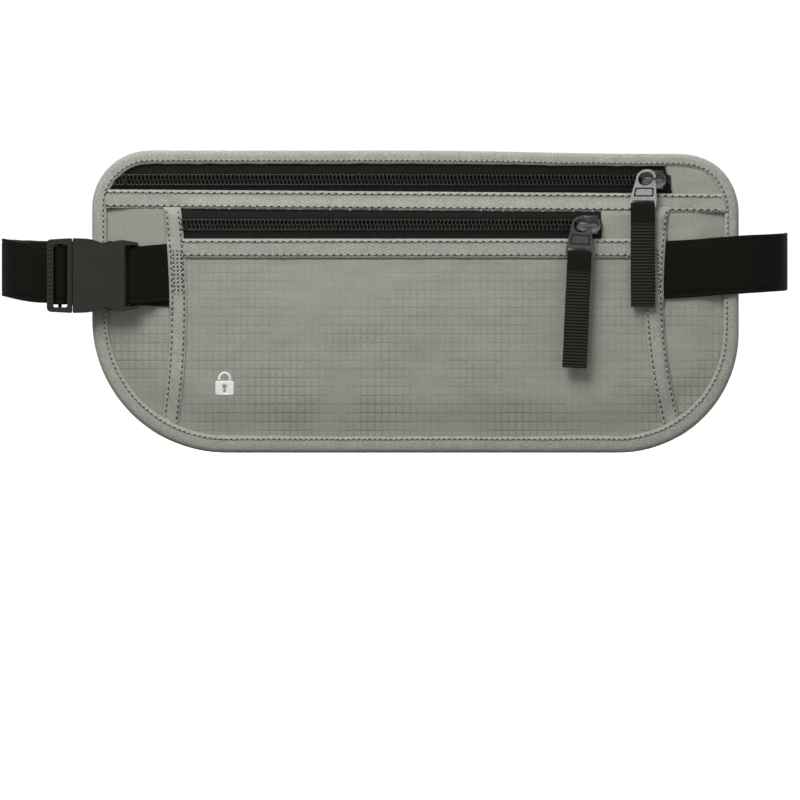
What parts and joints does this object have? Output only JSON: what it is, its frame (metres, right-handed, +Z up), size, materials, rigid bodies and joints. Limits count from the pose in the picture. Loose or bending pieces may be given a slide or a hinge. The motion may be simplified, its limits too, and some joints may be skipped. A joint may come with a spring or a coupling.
{
  "type": "money belt",
  "caption": "Flat waist pouch with two front zip pockets, a hidden back pocket, an elastic belt and a side-release buckle.",
  "frame": {"origin": "centre of the flat rear face of the air-mesh back, which lies against the wearer", "axes": "+Z up as worn, +Y towards the wearer, +X to the right seen from the front"},
  "size_m": [0.3415, 0.1552, 0.131],
  "materials": {
    "ripstop": "grey ripstop nylon, matt, slight sheen",
    "grey_tape": "grey woven tape and folded strips, matt",
    "air_mesh": "black three-dimensional air mesh, matt",
    "foil": "metallised shielding fabric",
    "zip_tape": "black woven zip tape",
    "zip_coil": "black nylon coil, satin",
    "gunmetal": "dark plated zinc, glossy",
    "bright_metal": "bright plated zinc",
    "pull_webbing": "black ribbed webbing",
    "elastic": "black woven elastic, matt",
    "acetal": "charcoal moulded acetal, fine matt grain"
  },
  "bodies": {
    "pouch": {"back_mesh_panel": "air_mesh", "back_pocket_hem": "grey_tape", "back_panel": "ripstop", "rfid_liner_rear": "foil", "rfid_liner_front": "foil", "body_front_panel": "ripstop", "edge_binding": "grey_tape", "main_facing_strip": "grey_tape", "front_pocket_panel": "ripstop", "front_facing_strip": "grey_tape", "pocket_strip_left": "grey_tape", "pocket_strip_right": "grey_tape", "main_zip_tape_upper": "zip_tape", "main_zip_tape_lower": "zip_tape", "main_zip_coil_upper": "zip_coil", "main_zip_coil_lower": "zip_coil", "main_zip_stop_left": "gunmetal", "main_zip_stop_right": "gunmetal", "front_zip_tape_upper": "zip_tape", "front_zip_tape_lower": "zip_tape", "front_zip_coil_upper": "zip_coil", "front_zip_coil_lower": "zip_coil", "front_zip_stop_left": "gunmetal", "front_zip_stop_right": "gunmetal", "strap_long": "elastic", "strap_short": "elastic", "buckle_female": "acetal"},
    "main_slider": {"main_slider": "gunmetal"},
    "main_pull_tab": {"main_pull_tab": "bright_metal"},
    "main_pull_webbing": {"main_pull_webbing": "pull_webbing"},
    "front_slider": {"front_slider": "gunmetal"},
    "front_pull_tab": {"front_pull_tab": "gunmetal"},
    "front_pull_webbing": {"front_pull_webbing": "pull_webbing"},
    "buckle_male": {"buckle_male": "acetal", "strap_buckle_end": "elastic"},
    "prong_upper": {"buckle_prong_upper": "acetal"},
    "prong_lower": {"buckle_prong_lower": "acetal"},
    "strap_adjuster": {"strap_adjuster": "acetal"}
  },
  "joints": [
    {"name": "main_zip", "type": "slide", "parent": "pouch", "child": "main_slider", "axis": [1, 0, 0], "range_m": [-0.2, 0], "deforming": ["main_pull_webbing"]},
    {"name": "main_tab_swing", "type": "hinge", "parent": "main_slider", "child": "main_pull_tab", "pos_m": [0.098, -0.0099, 0.0528], "axis": [0, 1, 0], "range_deg": [-28, 15]},
    {"name": "main_webbing_lift", "type": "hinge", "parent": "main_pull_tab", "child": "main_pull_webbing", "pos_m": [0.098, -0.0099, 0.0411], "axis": [1, 0, 0], "range_deg": [-120, 0]},
    {"name": "front_zip", "type": "slide", "parent": "pouch", "child": "front_slider", "axis": [1, 0, 0], "range_m": [-0.157, 0]},
    {"name": "front_tab_swing", "type": "hinge", "parent": "front_slider", "child": "front_pull_tab", "pos_m": [0.0697, -0.0125, 0.0333], "axis": [0, 1, 0], "range_deg": [-10, 70]},
    {"name": "front_webbing_lift", "type": "hinge", "parent": "front_pull_tab", "child": "front_pull_webbing", "pos_m": [0.06911, -0.0125, 0.02021], "axis": [0.999, 0, -0.0454], "range_deg": [-120, 0]},
    {"name": "buckle_release", "type": "slide", "parent": "pouch", "child": "buckle_male", "axis": [-1, 0, 0], "range_m": [0, 0.024], "deforming": ["strap_buckle_end"]},
    {"name": "prong_upper_squeeze", "type": "hinge", "parent": "buckle_male", "child": "prong_upper", "pos_m": [-0.1466, -0.011, 0.0222], "axis": [0, 1, 0], "range_deg": [0, 24.1]},
    {"name": "prong_lower_squeeze", "type": "hinge", "parent": "buckle_male", "child": "prong_lower", "pos_m": [-0.1466, -0.011, 0.0002], "axis": [0, -1, 0], "range_deg": [0, 24.1]},
    {"name": "adjuster_slide", "type": "slide", "parent": "pouch", "child": "strap_adjuster", "axis": [1, 0, 0], "range_m": [-0.014, 0.11]}
  ],
  "couplings": [
    {"joint": "prong_upper_squeeze", "follows": "buckle_release", "rad_per_m": 17.453},
    {"joint": "prong_lower_squeeze", "follows": "buckle_release", "rad_per_m": 17.453}
  ]
}
